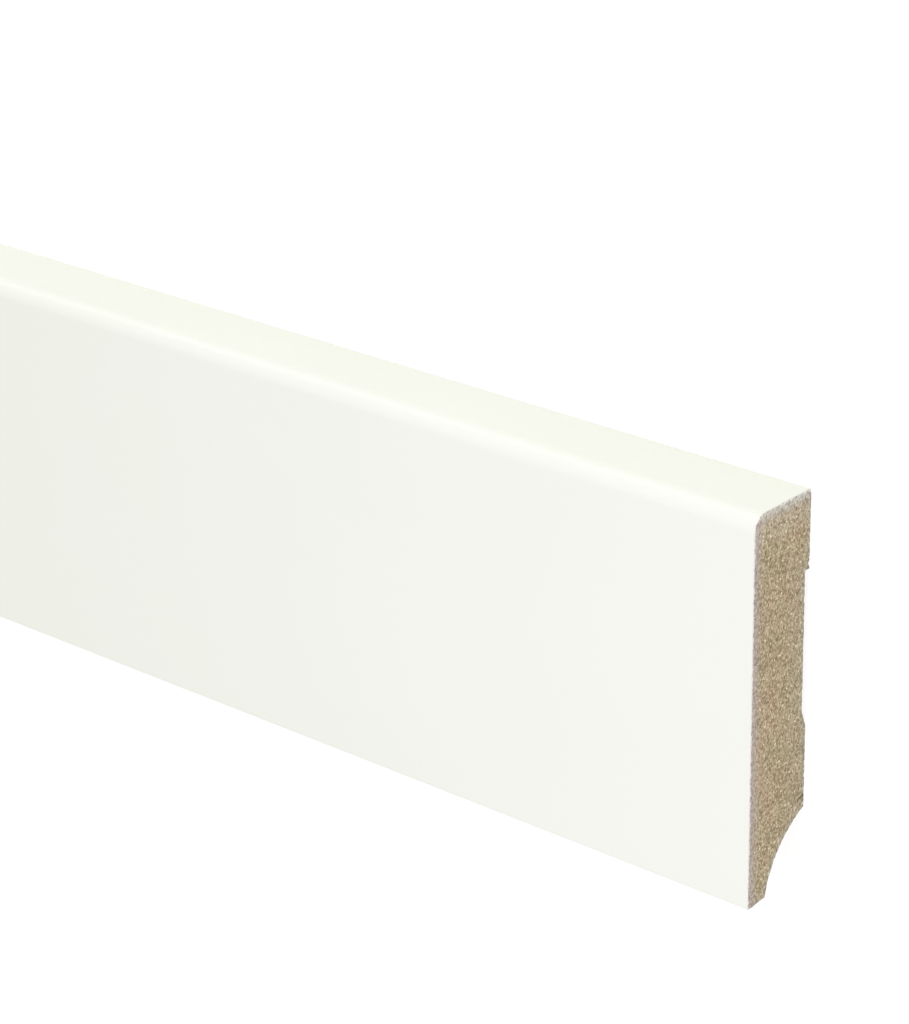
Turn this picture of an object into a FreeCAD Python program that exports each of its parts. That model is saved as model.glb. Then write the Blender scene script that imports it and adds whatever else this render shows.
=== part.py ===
import FreeCAD
import Part
import math
import os

# A length of skirting board in millimetres, lying on its back with its front face up.
# +X runs along the board, +Y points to its top edge and +Z out of its front face.
# The origin is under the middle of the board, level with the pads of its back.

# Stock sizes
length = 2400.0
height = 70.0
thickness = 15.0

# Eased edges, each the radius of its rounding
top_front_radius = 3.0
top_back_radius = 1.5
foot_front_radius = 0.4

# The foot: its sole climbs towards the wall, and a cove is cut away behind it
foot_thickness = 4.7
sole_angle = 6.0
cove_height = 13.0
cove_radius = 17.6

# The back: two pads touch the wall, with a shallow relief between them.
# The relief ends in a square step under the upper pad and runs out onto the lower pad.
lower_pad_height = 15.0
upper_pad_height = 14.0
relief_depth = 1.1
relief_run_out = 3.0


def section_point(above_floor, off_wall):
    """A point of the section at the board's left-hand end."""
    return FreeCAD.Vector(-length / 2, above_floor - height / 2, off_wall)


def straight(start, end):
    """A straight run of the section."""
    return Part.LineSegment(start, end).toShape()


def rounding(before, corner, after, radius):
    """The arc that rounds a corner between two straight runs, and its two ends."""
    to_before = (before - corner).normalize()
    to_after = (after - corner).normalize()
    half_angle = to_before.getAngle(to_after) / 2
    reach = radius / math.tan(half_angle)
    middle_reach = radius / math.sin(half_angle) - radius
    start = corner + to_before * reach
    middle = corner + (to_before + to_after).normalize() * middle_reach
    end = corner + to_after * reach
    return Part.Arc(start, middle, end).toShape(), start, end


def hollow(start, end, radius):
    """An arc of the given radius between two points, scooped out of the board."""
    half_chord = start.distanceToPoint(end) / 2
    rise = radius - math.sqrt(radius ** 2 - half_chord ** 2)
    into_board = FreeCAD.Vector(0, end.z - start.z, start.y - end.y).normalize()
    middle = (start + end) * 0.5 + into_board * rise
    return Part.Arc(start, middle, end).toShape()


def board_section():
    """The moulded section as one closed wire, from the foot round over the front."""
    foot_front = section_point(0, thickness)
    top_front = section_point(height, thickness)
    top_back = section_point(height, 0)
    step_edge = section_point(height - upper_pad_height, 0)
    step_root = section_point(height - upper_pad_height, relief_depth)
    lower_pad_top = cove_height + lower_pad_height
    run_out_root = section_point(lower_pad_top + relief_run_out, relief_depth)
    run_out_edge = section_point(lower_pad_top, 0)
    cove_edge = section_point(cove_height, 0)
    foot_back = section_point(0, thickness - foot_thickness)
    sole_run = foot_thickness - foot_front_radius
    sole_rise = sole_run * math.tan(math.radians(sole_angle))
    sole_back = section_point(sole_rise, thickness - foot_thickness)

    foot_arc, foot_start, foot_end = rounding(
        foot_back, foot_front, top_front, foot_front_radius)
    front_arc, front_start, front_end = rounding(
        foot_front, top_front, top_back, top_front_radius)
    back_arc, back_start, back_end = rounding(
        top_front, top_back, step_edge, top_back_radius)

    return Part.Wire([
        foot_arc,
        straight(foot_end, front_start),
        front_arc,
        straight(front_end, back_start),
        back_arc,
        straight(back_end, step_edge),
        straight(step_edge, step_root),
        straight(step_root, run_out_root),
        straight(run_out_root, run_out_edge),
        straight(run_out_edge, cove_edge),
        hollow(cove_edge, sole_back, cove_radius),
        straight(sole_back, foot_start),
    ])


def skirting_board():
    """The whole board: its section run along the length, with both ends cut square."""
    return Part.Face(board_section()).extrude(FreeCAD.Vector(length, 0, 0))


board = skirting_board()
os.makedirs("parts", exist_ok=True)
board.exportStep("parts/skirting_board.step")

box = board.BoundBox
print("skirting_board", board.ShapeType, "closed and valid:", board.isValid())
print("size", round(box.XLength, 3), round(box.YLength, 3), round(box.ZLength, 3))
print("volume in cubic metres", round(board.Volume / 1e9, 7))
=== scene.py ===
import math
import random
from collections import namedtuple

import bmesh
import bpy
from mathutils import Matrix, Vector, noise
from mathutils.geometry import delaunay_2d_cdt
from mathutils.kdtree import KDTree


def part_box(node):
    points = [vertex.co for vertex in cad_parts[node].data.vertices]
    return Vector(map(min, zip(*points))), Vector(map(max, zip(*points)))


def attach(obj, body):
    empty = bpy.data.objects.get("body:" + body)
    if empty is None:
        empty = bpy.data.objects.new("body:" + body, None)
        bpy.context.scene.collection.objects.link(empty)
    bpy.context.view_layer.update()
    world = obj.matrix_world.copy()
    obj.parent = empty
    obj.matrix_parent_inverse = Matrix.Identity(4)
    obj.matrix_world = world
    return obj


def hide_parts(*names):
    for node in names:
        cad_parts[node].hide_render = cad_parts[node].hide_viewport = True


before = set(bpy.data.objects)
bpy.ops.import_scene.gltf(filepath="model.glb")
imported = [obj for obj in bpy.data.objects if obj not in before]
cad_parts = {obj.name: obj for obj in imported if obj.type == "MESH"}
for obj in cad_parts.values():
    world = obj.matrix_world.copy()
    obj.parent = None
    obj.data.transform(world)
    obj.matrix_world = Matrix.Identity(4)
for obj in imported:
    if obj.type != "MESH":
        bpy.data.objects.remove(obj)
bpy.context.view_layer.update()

# A length of white skirting board in metres, lying on its back with its front face up.
# +X runs along the board, +Y points to its top edge and +Z out of its front face.
mm = 0.001

# The board's own size, from the frame
board_low, board_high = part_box("skirting_board")
half_length = board_high.x
foot_line = board_low.y
top_line = board_high.y
wall_plane = board_low.z
front_plane = board_high.z

# Section. The top back edge is sharper than the solid's, as the photograph shows it.
top_front_radius = 3.0 * mm
top_back_radius = 0.5 * mm
foot_front_radius = 0.4 * mm
foot_thickness = 4.7 * mm
sole_angle = math.radians(6)
cove_height = 13.0 * mm
cove_radius = 17.6 * mm
lower_pad_height = 15.0 * mm
upper_pad_height = 14.0 * mm
relief_depth = 1.1 * mm
relief_run_out = 3.0 * mm

# Sawn ends: how finely they are meshed, and how deep the saw tears the fibres
fibre_spacing = 0.21 * mm
scatter_share = 0.3
clear_of_outline = 0.6
bundle_size = (1.1 * mm, 0.6 * mm)
fibre_size = (0.55 * mm, 0.32 * mm)
torn_depth = 0.13 * mm
torn_middle = 0.20
torn_swing = 0.55

# The torn depth that the rest of the board carries
torn_elsewhere = 0.4

# How the fibres wander: over how many of their own sizes, and by what share of their width
wander_length = 4
wander_share = 0.6

# Shifts of an end's seed that keep its noises apart
wander_shift = 7.3
fibre_shift = 31.7
chip_shift = 5.1
coat_tear_shift = 9.4

# Arris: how the saw chips the edge and tears the coat back, and where the long skin starts behind it
chip_size = 0.28 * mm
chip_length = 0.7 * mm
chip_threshold = 0.12
chip_least = 0.04
chip_of_coat = 0.25
coat_tear = 0.30 * mm
coat_tear_length = 0.5 * mm
coat_tear_least = 0.08
edge_rings = (0.30 * mm, 0.60 * mm)
skin_starts = 1.2 * mm
sharp_angle = math.radians(32)

# Notch of the right-hand end, above the step of the upper pad
notch_height = 1.0 * mm
notch_half_width = 0.55 * mm
notch_depth = 0.42 * mm
notch_reach = 0.2 * mm
notch_of_coat = 0.8

# Split of the right-hand end, above the cove. It runs from its mouth in the back to its tip.
split_mouth_height = 2.25 * mm
split_tip_height = 1.4 * mm
split_reach = 2.4 * mm
split_half_width = 0.70 * mm
split_narrowing = 0.45 * mm
split_fading = 0.4
split_depth = 0.14 * mm
# How strong the split's painted shade is, in the torn face and at the rim
split_shade = 2.2
split_shade_at_edge = 1.4

SectionPoint = namedtuple("SectionPoint", "y z surface kept run")


# Section outline

def corner_rounding(before, corner, after, radius):
    """The centre, start and end of the arc that rounds a corner between two straight runs."""
    to_before = (before - corner).normalized()
    to_after = (after - corner).normalized()
    half_angle = to_before.angle(to_after) / 2
    reach = radius / math.tan(half_angle)
    centre = corner + (to_before + to_after).normalized() * (radius / math.sin(half_angle))
    return centre, corner + to_before * reach, corner + to_after * reach


def straight_run(start, end):
    """Points from the start up to the end. The long skin keeps the first two and the last."""
    steps = max(1, round((end - start).length / fibre_spacing))
    return [(start.lerp(end, i / steps), i in (0, 1, steps - 1)) for i in range(steps)]


def arc_run(centre, start, end, finest=1, skin_every=1):
    """Points along an arc from the start up to the end. The long skin keeps one in every few."""
    arm = start - centre
    turn = arm.angle_signed(end - centre)
    steps = max(finest, round(abs(turn) * arm.length / fibre_spacing))
    steps += -steps % skin_every
    points = []
    for i in range(steps):
        turned = Matrix.Rotation(-turn * i / steps, 2) @ arm
        points.append((centre + turned, i % skin_every == 0))
    return points


def section_outline():
    """The moulded section as a closed walk, from the foot up the front face and down the back."""
    foot_front = Vector((foot_line, front_plane))
    top_front = Vector((top_line, front_plane))
    top_back = Vector((top_line, wall_plane))
    step_edge = Vector((top_line - upper_pad_height, wall_plane))
    step_root = step_edge + Vector((0, relief_depth))
    run_out_edge = Vector((foot_line + cove_height + lower_pad_height, wall_plane))
    run_out_root = run_out_edge + Vector((relief_run_out, relief_depth))
    cove_edge = Vector((foot_line + cove_height, wall_plane))
    foot_back = Vector((foot_line, front_plane - foot_thickness))
    sole_rise = (foot_thickness - foot_front_radius) * math.tan(sole_angle)
    sole_back = foot_back + Vector((sole_rise, 0))

    foot_arc = corner_rounding(foot_back, foot_front, top_front, foot_front_radius)
    front_arc = corner_rounding(foot_front, top_front, top_back, top_front_radius)
    back_arc = corner_rounding(top_front, top_back, step_edge, top_back_radius)
    half_chord = (sole_back - cove_edge).length / 2
    across_chord = (sole_back - cove_edge).orthogonal().normalized()
    from_chord = math.sqrt(cove_radius ** 2 - half_chord ** 2)
    cove_centre = cove_edge.lerp(sole_back, 0.5) + across_chord * from_chord

    stretches = [
        ("coat", arc_run(*foot_arc, finest=6)),
        ("coat", straight_run(foot_arc[2], front_arc[1])),
        ("coat", arc_run(*front_arc)),
        ("coat", straight_run(front_arc[2], back_arc[1])),
        ("coat", arc_run(*back_arc, finest=8)),
        ("back", straight_run(back_arc[2], step_edge)),
        ("back", straight_run(step_edge, step_root)),
        ("back", straight_run(step_root, run_out_root)),
        ("back", straight_run(run_out_root, run_out_edge)),
        ("back", straight_run(run_out_edge, cove_edge)),
        ("back", arc_run(cove_centre, cove_edge, sole_back, skin_every=4)),
        ("back", straight_run(sole_back, foot_arc[1])),
    ]
    outline = []
    run = 0.0
    last = None
    for surface, points in stretches:
        for point, kept in points:
            if last is not None:
                run += (point - last).length
            outline.append(SectionPoint(point.x, point.y, surface, kept, run))
            last = point
    run += (Vector((outline[0].y, outline[0].z)) - last).length
    return outline, run


def inward_normals(outline):
    """The direction into the board at each point of the outline, which lies to the right of the walk."""
    normals = []
    for i, point in enumerate(outline):
        before = outline[i - 1]
        after = outline[(i + 1) % len(outline)]
        along = Vector((after.y - before.y, after.z - before.z)).normalized()
        normals.append(Vector((along.y, -along.x)))
    return normals


# Saw marks

def grain(y, z, seed, length, width):
    """Smooth noise from -1 to 1 whose grains are longer up the board than through it."""
    wide_y = y / (wander_length * length)
    wide_z = z / (wander_length * width)
    wander = noise.noise(Vector((wide_y, wide_z, seed + wander_shift)))
    return noise.noise(Vector((y / length, (z + wander * wander_share * width) / width, seed)))


def torn_fibres(y, z, seed):
    """How far the sawn face lies behind the end's plane, as a share from 0 to 1 of the deepest tear."""
    bundles = grain(y, z, seed, *bundle_size)
    fibres = grain(y, z, seed + fibre_shift, *fibre_size)
    return min(1.0, max(0.0, torn_middle + torn_swing * bundles + torn_swing * fibres))


def split_by_corner(y, z):
    """Depth from 0 to 1 of the short split that opens above the lower corner of the lower pad."""
    cove_line = foot_line + cove_height
    mouth = Vector((cove_line + split_mouth_height, wall_plane))
    tip = Vector((cove_line + split_tip_height, wall_plane + split_reach))
    along = tip - mouth
    share = max(0.0, min(1.0, (Vector((y, z)) - mouth).dot(along) / along.length_squared))
    gap = (Vector((y, z)) - mouth - along * share).length
    half_width = split_half_width - split_narrowing * share
    return max(0.0, 1 - gap / half_width) * (1 - split_fading * share)


def saw_marks(side, y, z, seed):
    """How deeply the fibres are torn and how far they are split open, both from 0 to 1."""
    split = split_by_corner(y, z) if side > 0 else 0.0
    return torn_fibres(y, z, seed), split


def notch_by_step(y, z):
    """Depth of the small notch that the saw broke out of the upper pad, just above its step."""
    if z >= wall_plane + notch_reach:
        return 0.0
    from_middle = abs(y - (top_line - upper_pad_height + notch_height)) / notch_half_width
    return notch_depth * max(0.0, 1 - from_middle)


def sawn_points(outline_tree, seed):
    """Scattered points over the section's box, clear of the outline itself."""
    scatter = random.Random(seed)
    row_height = fibre_spacing * math.sqrt(3) / 2
    rows = int((top_line - foot_line) / row_height)
    columns = int((front_plane - wall_plane) / fibre_spacing)
    points = []
    for row in range(1, rows):
        for column in range(columns + 1):
            y = foot_line + row * row_height
            y += scatter.uniform(-scatter_share, scatter_share) * fibre_spacing
            z = wall_plane + (column + 0.5 * (row % 2)) * fibre_spacing
            z += scatter.uniform(-scatter_share, scatter_share) * fibre_spacing
            if outline_tree.find((y, z, 0))[2] > clear_of_outline * fibre_spacing:
                points.append(Vector((y, z)))
    return points


def tree_of(points):
    """A search tree over points of the section."""
    tree = KDTree(len(points))
    for i, point in enumerate(points):
        tree.insert((point.y, point.z, 0), i)
    tree.balance()
    return tree


# The board's mesh

def add_object(name, data):
    """An object in the scene, made from its data."""
    made = bpy.data.objects.new(name, data)
    bpy.context.scene.collection.objects.link(made)
    return made


class BoardMesh:
    """The whole board as one closed mesh, with its own layout for baked surfaces."""

    # Material slots
    coat, sawn, back = range(3)

    # The layout: where each island starts, in shares of its width and height, by the side of the board
    end_islands = {1: 0.01, -1: 0.22}
    skin_islands = {-1: 0.44, 1: 0.72}
    skin_width = 0.26
    island_bottom = 0.02
    island_top = 0.955
    arris_strip = 0.25 * mm

    def __init__(self):
        self.outline, self.perimeter = section_outline()
        self.normals = inward_normals(self.outline)
        self.outline_tree = tree_of(self.outline)
        self.coat_tree = tree_of([point for point in self.outline if point.surface == "coat"])
        self.shape = bmesh.new()
        self.layout = self.shape.loops.layers.uv.new("OFBake")
        self.under_coat = self.shape.verts.layers.float.new("under_coat")
        self.from_edge = self.shape.verts.layers.float.new("from_edge")
        self.torn = self.shape.verts.layers.float.new("torn")

    def end_layout(self, side, y, z):
        """Where a point of a sawn end lies in the layout."""
        scale = (self.island_top - self.island_bottom) / (top_line - foot_line)
        across = (front_plane - z) * scale
        return self.end_islands[side] + across, self.island_bottom + (y - foot_line) * scale

    def skin_layout(self, side, x, run):
        """Where a point of the long skin lies in the layout."""
        across = run / self.perimeter * self.skin_width
        along = abs(x) / half_length * (self.island_top - self.island_bottom)
        return self.skin_islands[side] + across, self.island_bottom + along

    def edge_points(self, side, seed):
        """The ragged arris of a sawn end: its outer ring, and the ring where the coat starts."""
        rim = []
        coat_start = []
        for point, inward in zip(self.outline, self.normals):
            y, z = point.y, point.z
            chipped = max(0.0, grain(y, z, seed + chip_shift, chip_length, chip_length) - chip_threshold)
            torn = max(0.0, grain(y, z, seed + coat_tear_shift, coat_tear_length, coat_tear_length))
            depth, split = saw_marks(side, y, z, seed)
            notch = notch_by_step(y, z) if side > 0 else 0.0
            rim_x = half_length - depth * torn_depth
            shift = inward * (chip_size * (chip_least + chipped) + notch)
            # The rim's level of painted shade, from the torn fibres and the split
            painted_shade = max(depth, split_shade_at_edge * split)
            rim.append((side * rim_x, y + shift.x, z + shift.y, painted_shade))
            coat_x = rim_x - coat_tear * (coat_tear_least + torn)
            shift = inward * (chip_size * chip_of_coat * chipped + notch * notch_of_coat)
            coat_start.append((side * coat_x, y + shift.x, z + shift.y, torn_elsewhere))
        return rim, coat_start

    def add_ring(self, places):
        """Vertices for a ring of places, each with its torn depth."""
        ring = []
        for x, y, z, torn in places:
            vertex = self.shape.verts.new((x, y, z))
            vertex[self.torn] = torn
            ring.append(vertex)
        return ring

    def plain_ring(self, x):
        """A ring of the section at full size."""
        return self.add_ring([(x, point.y, point.z, torn_elsewhere) for point in self.outline])

    def sparse_ring(self, x):
        """A ring with only the points that the long skin keeps."""
        kept = [point for point in self.outline if point.kept]
        return self.add_ring([(x, point.y, point.z, torn_elsewhere) for point in kept])

    def face(self, corners, material):
        """A face from its corners, each a vertex with its place in the layout."""
        made = self.shape.faces.new([vertex for vertex, spot in corners])
        made.material_index = material
        made.smooth = True
        for loop, (vertex, spot) in zip(made.loops, corners):
            loop[self.layout].uv = spot

    def skin_face(self, side, corners, surface):
        """A face of the skin from its corners, each a vertex with how far round the outline it lies."""
        placed = [(vertex, self.skin_layout(side, vertex.co.x, run)) for vertex, run in corners]
        self.face(placed, self.coat if surface == "coat" else self.back)

    def join_edge(self, side, rim, coat_start):
        """The strip of bare fibre between the sawn face and the start of the coat."""
        count = len(self.outline)
        for i in range(count):
            j = (i + 1) % count
            places = []
            for k, outward in ((i, 0), (j, 0), (j, 1), (i, 1)):
                point = self.outline[k]
                shift = -self.normals[k] * outward * self.arris_strip
                places.append(self.end_layout(side, point.y + shift.x, point.z + shift.y))
            vertices = (rim[i], rim[j], coat_start[j], coat_start[i])
            self.face(list(zip(vertices, places)), self.sawn)

    def run_at(self, i):
        """How far round the outline a point lies, also for one that is counted past the start."""
        turns, index = divmod(i, len(self.outline))
        return turns * self.perimeter + self.outline[index].run

    def join_rings(self, side, first, second):
        """The skin between two full rings."""
        count = len(self.outline)
        for i in range(count):
            j = (i + 1) % count
            start = self.run_at(i)
            end = self.run_at(i + 1)
            corners = [(first[i], start), (first[j], end), (second[j], end), (second[i], start)]
            self.skin_face(side, corners, self.outline[i].surface)

    def kept_pairs(self):
        """Neighbouring points that the long skin keeps, as indexes into the outline."""
        kept = [i for i, point in enumerate(self.outline) if point.kept]
        return list(zip(kept, kept[1:] + [len(self.outline) + kept[0]]))

    def thin_out(self, side, ring, sparse):
        """The skin between a full ring and the sparse ring of the long skin."""
        count = len(self.outline)
        for number, (i, j) in enumerate(self.kept_pairs()):
            corners = [(ring[k % count], self.run_at(k)) for k in range(i, j + 1)]
            corners.append((sparse[(number + 1) % len(sparse)], self.run_at(j)))
            corners.append((sparse[number], self.run_at(i)))
            self.skin_face(side, corners, self.outline[i].surface)

    def join_sparse(self, side, first, second):
        """The long skin between two sparse rings."""
        for number, (i, j) in enumerate(self.kept_pairs()):
            after = (number + 1) % len(first)
            start = self.run_at(i)
            end = self.run_at(j)
            corners = [(first[number], start), (first[after], end)]
            corners += [(second[after], end), (second[number], start)]
            self.skin_face(side, corners, self.outline[i].surface)

    def sawn_vertex(self, side, y, z, seed):
        """A vertex of the torn face, inside its rim."""
        depth, split = saw_marks(side, y, z, seed)
        back = depth * torn_depth + split * split_depth
        vertex = self.shape.verts.new((side * (half_length - back), y, z))
        # How much painted shade the sawn material gives this point, from the torn fibres and the split
        vertex[self.torn] = max(depth, split_shade * split)
        return vertex

    def sawn_face(self, side, rim, seed):
        """The torn face of a sawn end, filled in from its rim."""
        places = [Vector(vertex.co.yz) for vertex in rim]
        edges = [(i, (i + 1) % len(rim)) for i in range(len(rim))]
        places += sawn_points(self.outline_tree, seed)
        inside_only = 1
        weld_distance = 1e-7
        filled = delaunay_2d_cdt(places, edges, [], inside_only, weld_distance)
        found, _, triangles, origins, _, _ = filled
        vertices = {}
        for triangle in triangles:
            for i in triangle:
                if i in vertices:
                    continue
                on_rim = [k for k in origins[i] if k < len(rim)]
                vertices[i] = rim[on_rim[0]] if on_rim else self.sawn_vertex(side, *found[i], seed)
        for triangle in triangles:
            corners = [vertices[i] for i in triangle]
            self.face([(vertex, self.end_layout(side, *vertex.co.yz)) for vertex in corners], self.sawn)

    def end(self, side, seed):
        """Everything from one sawn face to the start of the long skin."""
        rim_places, coat_places = self.edge_points(side, seed)
        rim = self.add_ring(rim_places)
        coat_start = self.add_ring(coat_places)
        self.sawn_face(side, rim, seed)
        self.join_edge(side, rim, coat_start)
        last = coat_start
        for inset in edge_rings:
            ring = self.plain_ring(side * (half_length - torn_depth - coat_tear - inset))
            self.join_rings(side, last, ring)
            last = ring
        sparse = self.sparse_ring(side * (half_length - torn_depth - coat_tear - skin_starts))
        self.thin_out(side, last, sparse)
        return sparse

    def build(self, name):
        """The finished mesh object."""
        right = self.end(1, seed=11)
        left = self.end(-1, seed=47)
        middle = self.sparse_ring(0)
        self.join_sparse(1, right, middle)
        self.join_sparse(-1, left, middle)
        for vertex in self.shape.verts:
            vertex[self.under_coat] = self.coat_tree.find((vertex.co.y, vertex.co.z, 0))[2]
            vertex[self.from_edge] = self.outline_tree.find((vertex.co.y, vertex.co.z, 0))[2]
        bmesh.ops.recalc_face_normals(self.shape, faces=self.shape.faces)
        mesh = bpy.data.meshes.new(name)
        self.shape.to_mesh(mesh)
        self.shape.free()
        mesh.set_sharp_from_angle(angle=sharp_angle)
        return add_object(name, mesh)


# Node helpers

def join_or_set(tree, socket, value):
    """Joins a socket to the one that is given, or sets it to a plain value."""
    if isinstance(value, bpy.types.NodeSocket):
        tree.links.new(value, socket)
    else:
        socket.default_value = value


def place(tree, kind, inputs=None, **settings):
    """Adds a node with its settings. Each input is given a value or joined to a socket."""
    made = tree.nodes.new(kind)
    for name, value in settings.items():
        setattr(made, name, value)
    for name, value in (inputs or {}).items():
        join_or_set(tree, made.inputs[name], value)
    return made


def calculate(tree, operation, *values):
    """A sum on two or three values, which may be sockets."""
    return place(tree, "ShaderNodeMath", dict(enumerate(values)), operation=operation).outputs[0]


def centred(tree, value):
    """A noise from 0 to 1, moved to swing about 0."""
    return calculate(tree, "SUBTRACT", value, 0.5)


def spread(tree, value, low, high, to_low=0.0, to_high=1.0, smooth=True):
    """Moves a value from one range to another and holds it there."""
    inputs = {"Value": value, "From Min": low, "From Max": high, "To Min": to_low, "To Max": to_high}
    kind = "SMOOTHSTEP" if smooth else "LINEAR"
    return place(tree, "ShaderNodeMapRange", inputs, interpolation_type=kind).outputs[0]


def blend(tree, share, first, second):
    """Two colours mixed by a share."""
    return place(tree, "ShaderNodeMix", {0: share, 6: first, 7: second}, data_type="RGBA").outputs[2]


def stored(tree, name):
    """A value that the board's mesh keeps at its points."""
    return place(tree, "ShaderNodeAttribute", attribute_name=name).outputs["Fac"]


def added(tree, first, second):
    """Two vectors added up."""
    return place(tree, "ShaderNodeVectorMath", {0: first, 1: second}, operation="ADD").outputs[0]


def stretched(tree, *lengths):
    """The place on the object, divided by a length on each axis."""
    where = place(tree, "ShaderNodeTexCoord").outputs["Object"]
    scale = tuple(1 / length for length in lengths)
    return place(tree, "ShaderNodeVectorMath", {0: where, 1: scale}, operation="MULTIPLY").outputs[0]


def noise_value(tree, where, detail, shift=0.0):
    """Noise from 0 to 1 with features one unit across."""
    inputs = {"Vector": added(tree, where, (shift, shift, shift)), "Scale": 1.0, "Detail": detail}
    return place(tree, "ShaderNodeTexNoise", inputs).outputs[0]


def bump(tree, shader, height, distance):
    """Fine relief in a material, as high as a distance where the height is 1."""
    made = place(tree, "ShaderNodeBump", {"Strength": 1.0, "Distance": distance, "Height": height})
    tree.links.new(made.outputs[0], shader.inputs["Normal"])


def effect(name, inputs, outputs):
    """An empty node group with named number inputs and outputs."""
    group = bpy.data.node_groups.new(name, "ShaderNodeTree")
    for socket, value in inputs.items():
        made = group.interface.new_socket(socket, in_out="INPUT", socket_type="NodeSocketFloat")
        made.default_value = value
    for socket in outputs:
        group.interface.new_socket(socket, in_out="OUTPUT", socket_type="NodeSocketFloat")
    return group, group.nodes.new("NodeGroupInput").outputs, group.nodes.new("NodeGroupOutput").inputs


def use(tree, group, **inputs):
    """Places an effect in a material. Input names are given with underscores for spaces."""
    made = place(tree, "ShaderNodeGroup", node_tree=group)
    for name, value in inputs.items():
        join_or_set(tree, made.inputs[name.replace("_", " ")], value)
    return made.outputs


def empty_tree(holder):
    """The node tree of a material or a world, with nothing in it."""
    holder.use_nodes = True
    holder.node_tree.nodes.clear()
    return holder.node_tree


def new_material(name):
    """A material with nothing but its surface shader."""
    material = bpy.data.materials.new(name)
    tree = empty_tree(material)
    shader = place(tree, "ShaderNodeBsdfPrincipled")
    place(tree, "ShaderNodeOutputMaterial", {"Surface": shader.outputs[0]})
    return material, tree, shader


def colour(red, green, blue):
    """A colour as a screen shows it, from 0 to 255, in the linear values that nodes take."""
    linear = []
    for level in (red, green, blue):
        share = level / 255
        linear.append(share / 12.92 if share <= 0.04045 else ((share + 0.055) / 1.055) ** 2.4)
    return (*linear, 1.0)


# Effects that several materials use

# Sizes of the fibres up the board and through it, and how they wander
fine_fibre = (0.50 * mm, 0.35 * mm)
pale_fleck = (0.60 * mm, 0.40 * mm)
dark_pore = (0.55 * mm, 0.38 * mm)
bright_speck = (0.52 * mm, 0.46 * mm)
bend_size = 2.2 * mm
bend_width = 1.6

# Levels of noise: between which it mostly lies, and from which spots and specks show
noise_levels = (0.3, 0.7)
spot_level = 0.80
spot_softness = 0.14
level_per_share = 1.1
speck_levels = (0.70, 0.78)

# Ragged edge of sprayed paint
paint_grain = (0.8 * mm, 0.7 * mm, 0.8 * mm)
paint_swing = 4.0
paint_fade = (0.4, 1.0)


def pressed_fibres():
    """Pressed wood fibre, longest up the board, with pale flecks, dark pores and a few bright specks."""
    group, given, result = effect(
        "Pressed fibres",
        {"Fleck share": 0.1, "Pore share": 0.1, "Offset": 0.0},
        ("Fibre", "Fleck", "Pore", "Speck"))
    bend = noise_value(group, stretched(group, bend_size, bend_size, bend_size), detail=1.0)
    bend = calculate(group, "MULTIPLY_ADD", bend, bend_width, -bend_width / 2)
    offsets = {0: given["Offset"], 1: given["Offset"], 2: bend}
    offset = place(group, "ShaderNodeCombineXYZ", offsets).outputs[0]

    def fibres(size, detail, shift):
        length, width = size
        where = stretched(group, width, length, width)
        return noise_value(group, added(group, where, offset), detail, shift)

    def spots(size, share, shift):
        lower = calculate(group, "MULTIPLY", share, level_per_share)
        level = calculate(group, "SUBTRACT", spot_level, lower)
        full = calculate(group, "ADD", level, spot_softness)
        return spread(group, fibres(size, detail=0.0, shift=shift), level, full)

    specks = spread(group, fibres(bright_speck, detail=0.0, shift=41.3), *speck_levels)
    group.links.new(fibres(fine_fibre, detail=4.0, shift=0.0), result["Fibre"])
    group.links.new(spots(pale_fleck, given["Fleck share"], shift=13.1), result["Fleck"])
    group.links.new(spots(dark_pore, given["Pore share"], shift=27.7), result["Pore"])
    group.links.new(specks, result["Speck"])
    return group


def soft_patches():
    """Wide cloudy patches, from 0 to 1, of a given size in millimetres."""
    group, given, result = effect("Soft patches", {"Patch size": 30.0, "Offset": 0.0}, ("Patch",))
    where = place(group, "ShaderNodeTexCoord").outputs["Object"]
    per_metre = calculate(group, "DIVIDE", 1 / mm, given["Patch size"])
    scaled = place(group, "ShaderNodeVectorMath", {0: where, "Scale": per_metre}, operation="SCALE")
    offset = place(group, "ShaderNodeCombineXYZ", {i: given["Offset"] for i in range(3)})
    clouds = noise_value(group, added(group, scaled.outputs[0], offset.outputs[0]), detail=3.0)
    group.links.new(spread(group, clouds, *noise_levels), result["Patch"])
    return group


def paint_edge():
    """Where sprayed paint fades out: 1 at the coat and 0 beyond a reach in millimetres."""
    group, given, result = effect("Paint edge", {"Reach": 1.0, "Raggedness": 0.5}, ("Paint",))
    away = calculate(group, "MULTIPLY", stored(group, "under_coat"), 1 / mm)
    share = calculate(group, "DIVIDE", away, given["Reach"])
    ragged = centred(group, noise_value(group, stretched(group, *paint_grain), detail=3.0))
    ragged = calculate(group, "MULTIPLY", ragged, given["Raggedness"])
    edge = calculate(group, "ADD", share, calculate(group, "MULTIPLY", ragged, paint_swing))
    group.links.new(spread(group, edge, *paint_fade, 1.0, 0.0), result["Paint"])
    return group


# Material of the coat

coat_pale = colour(244.3, 246, 236)
coat_warm = colour(243.8, 245.3, 234)
coat_roughness = (0.31, 0.37)
sheen_size = (18 * mm, 9 * mm, 9 * mm)
ripple_size = (1.6 * mm, 1.2 * mm, 1.2 * mm)
ripple_height = 0.006 * mm


def white_coat(patches):
    """The thin satin coat on the front and the top."""
    material, tree, shader = new_material("white_satin_coat")
    patch = use(tree, patches, Patch_size=45.0)["Patch"]
    tree.links.new(blend(tree, patch, coat_pale, coat_warm), shader.inputs["Base Color"])
    sheen = noise_value(tree, stretched(tree, *sheen_size), detail=3.0)
    tree.links.new(spread(tree, sheen, *noise_levels, *coat_roughness), shader.inputs["Roughness"])
    ripple = noise_value(tree, stretched(tree, *ripple_size), detail=1.0)
    bump(tree, shader, ripple, ripple_height)
    return material


# Material of the sawn ends

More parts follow.
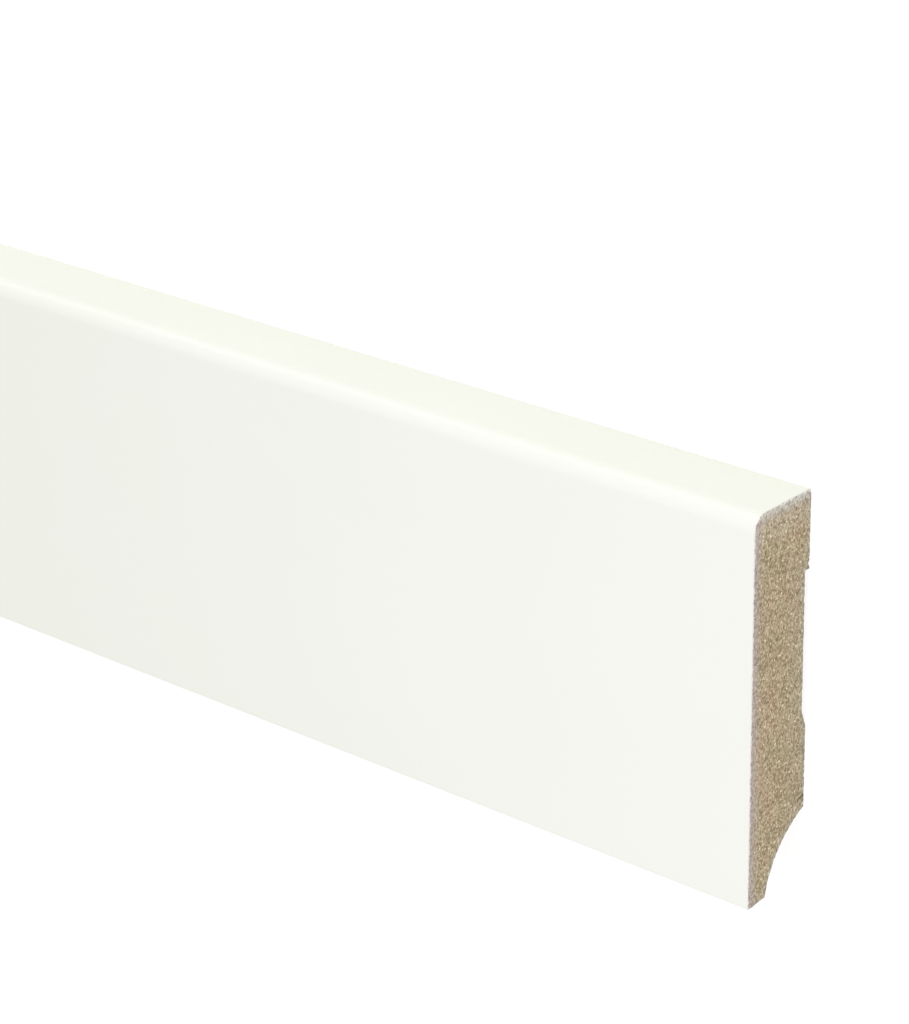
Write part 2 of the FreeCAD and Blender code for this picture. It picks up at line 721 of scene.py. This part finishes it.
core_olive = colour(174.5, 161, 127.5)
core_rosy = colour(188.5, 164, 136.5)
core_dark = colour(127, 107, 79)
core_pale = colour(225, 209, 181)
# Painted shade inside the split of the right-hand end
split_painted_shade = colour(104, 90, 60)
speck_cream = colour(250, 240, 216)
skin_grey = colour(194, 181, 183)
edge_grey = colour(181, 174, 155)
edge_lilac = colour(188, 174, 181)
paint_dust = colour(247, 242, 237)
top_haze = colour(236, 240, 233)

# From where to where: the denser skin below the coat, the outermost layer and the strip along the top
skin_depths = (0.3 * mm, 2.6 * mm)
edge_depths = (0.30 * mm, 1.80 * mm)
edge_strength = 0.90
top_heights = (top_line - 1.8 * mm, top_line - 0.4 * mm)

# How strongly the grain shows in the core, and how much that changes in the skin and near the top
core_contrast = 0.92
skin_contrast = -0.26
top_contrast = 0.52
fibre_swing = 0.20
pore_strength = 0.74
fleck_strength = 0.85
speck_strength = 0.97
skin_speck = -0.70

# The torn depths that get painted shade, and those of the split, which get a deeper painted shade
shade_levels = (0.4, 0.9)
shade_strength = 0.35
split_levels = (0.95, 1.3)
split_strength = 0.85

# Pale haze: on the upper part, on the strip along the top from back to front, and deep in the core
upper_haze_heights = (top_line - 7.0 * mm, top_line - 4.0 * mm)
upper_haze = 0.10
top_haze_places = (wall_plane + 8.5 * mm, wall_plane + 11.0 * mm)
top_haze_shares = (0.41, 0.22)
deep_haze_depths = (8.0 * mm, 11.5 * mm)
deep_haze = 0.045
haze_patchiness = 3.0

# Dust of the coat along the arris: its reach in millimetres and its raggedness, below and at the top
dust_heights = (top_line - 2.5 * mm, top_line - 0.8 * mm)
dust_reach = (0.36, 0.22)
dust_raggedness = (0.5, 2.0)
dust_strength = 0.92

# The cut surface
sawn_roughness = 0.85
sawn_relief = 0.05 * mm


def sawn_layers(tree, patch, skin):
    """The colours of the core, of the denser skin below the coat and of the outermost layer."""
    body = blend(tree, patch, core_olive, core_rosy)
    body = blend(tree, skin, body, skin_grey)
    rim = blend(tree, skin, edge_grey, edge_lilac)
    edge = spread(tree, stored(tree, "from_edge"), *edge_depths, edge_strength, 0.0, smooth=False)
    return blend(tree, edge, body, rim)


def sawn_grain(tree, body, grains, fine, contrast):
    """The darker and the paler fibres, the pores and the flecks."""
    body = blend(tree, spread(tree, fine, 0.0, -fibre_swing, smooth=False), body, core_dark)
    body = blend(tree, spread(tree, fine, 0.0, fibre_swing, smooth=False), body, core_pale)
    spots = (("Pore", pore_strength, core_dark), ("Fleck", fleck_strength, core_pale))
    for name, strength, tone in spots:
        share = calculate(tree, "MULTIPLY", grains[name], strength)
        body = blend(tree, calculate(tree, "MULTIPLY", share, contrast), body, tone)
    return body


def sawn_marks(tree, body, specks, skin):
    """Painted shade in the torn fibres and in the split, and the bright specks."""
    torn = stored(tree, "torn")
    shade = calculate(tree, "MULTIPLY", spread(tree, torn, *shade_levels), shade_strength)
    body = blend(tree, shade, body, core_dark)
    brightness = calculate(tree, "MULTIPLY_ADD", skin, skin_speck, speck_strength)
    body = blend(tree, calculate(tree, "MULTIPLY", specks, brightness), body, speck_cream)
    # Painted shade: the split is darkened to a deep brown
    return blend(tree, spread(tree, torn, *split_levels, 0.0, split_strength), body, split_painted_shade)


def sawn_haze(tree, body, axes, under, near_top, fine):
    """Pale haze on the upper part, along the top and deep in the core, patchy like the fibres."""
    haze = spread(tree, axes["Y"], *upper_haze_heights, 0.0, upper_haze)
    along_top = spread(tree, axes["Z"], *top_haze_places, *top_haze_shares)
    haze = calculate(tree, "MULTIPLY_ADD", near_top, along_top, haze)
    haze = calculate(tree, "ADD", haze, spread(tree, under, *deep_haze_depths, 0.0, deep_haze))
    patchy = calculate(tree, "MULTIPLY_ADD", fine, haze_patchiness, 1.0)
    return blend(tree, calculate(tree, "MULTIPLY", haze, patchy), body, top_haze)


def sawn_dust(tree, body, paint, height):
    """White dust of the coat along the arris."""
    reach = spread(tree, height, *dust_heights, *dust_reach)
    ragged = spread(tree, height, *dust_heights, *dust_raggedness)
    dust = use(tree, paint, Reach=reach, Raggedness=ragged)["Paint"]
    return blend(tree, calculate(tree, "MULTIPLY", dust, dust_strength), body, paint_dust)


def sawn_fibreboard(fibres, patches, paint):
    """The sawn ends: brown pressed fibre, greyer and finer under the coat."""
    material, tree, shader = new_material("sawn_fibreboard")
    grains = use(tree, fibres, Fleck_share=0.16, Pore_share=0.13)
    patch = use(tree, patches, Patch_size=4.5)["Patch"]
    under = stored(tree, "under_coat")
    skin = spread(tree, under, *skin_depths, 1.0, 0.0, smooth=False)
    where = place(tree, "ShaderNodeTexCoord").outputs["Object"]
    axes = place(tree, "ShaderNodeSeparateXYZ", {0: where}).outputs
    near_top = spread(tree, axes["Y"], *top_heights)
    contrast = calculate(tree, "MULTIPLY_ADD", skin, skin_contrast, core_contrast)
    contrast = calculate(tree, "MULTIPLY_ADD", near_top, top_contrast, contrast)
    fine = calculate(tree, "MULTIPLY", centred(tree, grains["Fibre"]), contrast)

    body = sawn_layers(tree, patch, skin)
    body = sawn_grain(tree, body, grains, fine, contrast)
    body = sawn_marks(tree, body, grains["Speck"], skin)
    body = sawn_haze(tree, body, axes, under, near_top, fine)
    body = sawn_dust(tree, body, paint, axes["Y"])
    tree.links.new(body, shader.inputs["Base Color"])
    shader.inputs["Roughness"].default_value = sawn_roughness
    bump(tree, shader, grains["Fibre"], sawn_relief)
    return material


# Material of the back

back_brown = colour(176, 156, 124)
back_sand = colour(186, 167, 136)
cutter_brown = colour(150, 130, 100)
# Spray of the coat, painted lighter and cooler than the coat itself: partly real spray, partly a painted
# highlight where the back meets the coat
spray_painted_highlight = colour(247, 249, 241)
back_pore_strength = 0.35
back_fleck_strength = 0.18
cutter_line_size = (260 * mm, 0.9 * mm, 0.9 * mm)
cutter_levels = (0.5, 0.75)
cutter_strength = 0.25
cutter_relief = 0.02 * mm
back_roughness = (0.62, 0.78)


def milled_fibreboard(fibres, patches, paint):
    """The bare milled back, with cutter lines along the board and spray that reached round its edges,
    painted a little lighter than the coat as a painted highlight.
    """
    material, tree, shader = new_material("milled_fibreboard")
    grains = use(tree, fibres, Fleck_share=0.08, Pore_share=0.07, Offset=3.7)
    patch = use(tree, patches, Patch_size=35.0, Offset=2.0)["Patch"]
    body = blend(tree, patch, back_brown, back_sand)
    body = blend(tree, calculate(tree, "MULTIPLY", grains["Pore"], back_pore_strength), body, core_dark)
    body = blend(tree, calculate(tree, "MULTIPLY", grains["Fleck"], back_fleck_strength), body, core_pale)
    lines = noise_value(tree, stretched(tree, *cutter_line_size), detail=2.0)
    body = blend(tree, spread(tree, lines, *cutter_levels, 0.0, cutter_strength), body, cutter_brown)
    spray = use(tree, paint, Reach=2.6, Raggedness=0.3)["Paint"]
    # The spray near the coat's edge, in a colour that carries a painted highlight
    tree.links.new(blend(tree, spray, body, spray_painted_highlight), shader.inputs["Base Color"])
    tree.links.new(spread(tree, lines, *noise_levels, *back_roughness), shader.inputs["Roughness"])
    bump(tree, shader, lines, cutter_relief)
    return material


# The board

def make_board():
    """The board with its coat, its sawn ends and its milled back, in place of the plain solid."""
    board = BoardMesh().build("skirting_board_finished")
    fibres = pressed_fibres()
    patches = soft_patches()
    paint = paint_edge()
    board.data.materials.append(white_coat(patches))
    board.data.materials.append(sawn_fibreboard(fibres, patches, paint))
    board.data.materials.append(milled_fibreboard(fibres, patches, paint))
    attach(board, "root")
    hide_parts("skirting_board")


# Floor and room

white = (1, 1, 1, 1)
floor_half_width = 30.0
floor_glow = 0.90
floor_shade = (0.16, 0.16, 0.16, 1)
floor_bounce = (0.80, 0.80, 0.69, 1)
room_level = 0.868


def seen_directly(tree):
    """1 for what is seen, straight, in gloss or through glass, and 0 for light that falls on things."""
    path = place(tree, "ShaderNodeLightPath").outputs
    direct = calculate(tree, "MAXIMUM", path["Is Camera Ray"], path["Is Glossy Ray"])
    return calculate(tree, "MAXIMUM", direct, path["Is Transmission Ray"])


def floor_material():
    """White where it is seen, with a faint shadow, and a little warm in the light that it throws back."""
    material = bpy.data.materials.new("white_floor")
    tree = empty_tree(material)
    bounce = place(tree, "ShaderNodeBsdfDiffuse", {"Color": floor_bounce}).outputs[0]
    shade = place(tree, "ShaderNodeBsdfDiffuse", {"Color": floor_shade}).outputs[0]
    glow = place(tree, "ShaderNodeEmission", {"Color": white, "Strength": floor_glow}).outputs[0]
    seen = place(tree, "ShaderNodeAddShader", {0: shade, 1: glow}).outputs[0]
    mixed = place(tree, "ShaderNodeMixShader", {0: seen_directly(tree), 1: bounce, 2: seen}).outputs[0]
    place(tree, "ShaderNodeOutputMaterial", {"Surface": mixed})
    return material


def make_floor():
    """The floor that the board lies on."""
    mesh = bpy.data.meshes.new("floor")
    half = floor_half_width
    corners = [(x * half, y * half, wall_plane) for x, y in ((-1, -1), (1, -1), (1, 1), (-1, 1))]
    mesh.from_pydata(corners, [], [(0, 1, 2, 3)])
    mesh.materials.append(floor_material())
    floor = add_object("floor", mesh)


def make_room():
    """An even white room: full white where it is seen, and soft light where it falls on things."""
    world = bpy.data.worlds.new("white_room")
    bpy.context.scene.world = world
    tree = empty_tree(world)
    strength = spread(tree, seen_directly(tree), 0.0, 1.0, room_level, 1.0, smooth=False)
    glow = place(tree, "ShaderNodeBackground", {"Color": white, "Strength": strength}).outputs[0]
    place(tree, "ShaderNodeOutputWorld", {"Surface": glow})


# Lamps. A brightness of 1 is as bright as the white room looks.

top_lamp_place = Vector((0.0, 1.0, 0.20))
top_lamp_size = (3.2, 0.36)
top_lamp_brightness = 1.66
top_lamp_tint = (0.87, 0.86, 1.0)
end_lamp_overhang = 0.04
end_lamp_height = 0.215
end_lamp_size = (0.15, 0.15)
end_lamp_brightness = 1.06
end_lamp_tint = (0.78, 0.745, 1.0)


def softbox(name, lamp_place, aim, size, brightness, tint):
    """A rectangular lamp."""
    lamp = bpy.data.lights.new(name, "AREA")
    lamp.shape = "RECTANGLE"
    lamp.size, lamp.size_y = size
    lamp.energy = brightness * math.pi * size[0] * size[1]
    lamp.color = tint
    made = add_object(name, lamp)
    made.location = lamp_place
    made.rotation_euler = (aim - lamp_place).to_track_quat("-Z", "Y").to_euler()
    made.visible_camera = False


def make_lamps():
    """A long soft box by the top edge, and a small one over each end."""
    middle = Vector((0, 0, 0))
    softbox("box_by_top_edge", top_lamp_place, middle, top_lamp_size, top_lamp_brightness, top_lamp_tint)
    for side, name in ((1, "box_over_right_end"), (-1, "box_over_left_end")):
        over_end = Vector((side * (half_length + end_lamp_overhang), 0, end_lamp_height))
        below = Vector((over_end.x, 0, 0))
        softbox(name, over_end, below, end_lamp_size, end_lamp_brightness, end_lamp_tint)


# Camera

camera_place = Vector((1505.8, 263.6, 436.3)) * mm
camera_aim = Vector((1138.1, 19.0, 15.0)) * mm
camera_roll = math.radians(-0.966)
camera_lens = 128.34
camera_sensor = 36.0


def make_camera():
    """The photograph's view: the board's top edge is up and its front face and right-hand end show."""
    data = bpy.data.cameras.new("camera")
    data.lens = camera_lens
    data.sensor_width = camera_sensor
    data.clip_start = 0.01
    camera = add_object("camera", data)
    forward = (camera_aim - camera_place).normalized()
    right = forward.cross(Vector((0, 1, 0))).normalized()
    right = Matrix.Rotation(camera_roll, 3, -forward) @ right
    up = right.cross(forward)
    turned = Matrix((right, up, -forward)).transposed()
    camera.matrix_world = Matrix.Translation(camera_place) @ turned.to_4x4()
    bpy.context.scene.camera = camera


make_board()
make_floor()
make_room()
make_lamps()
make_camera()
bpy.context.scene.view_settings.view_transform = "Standard"
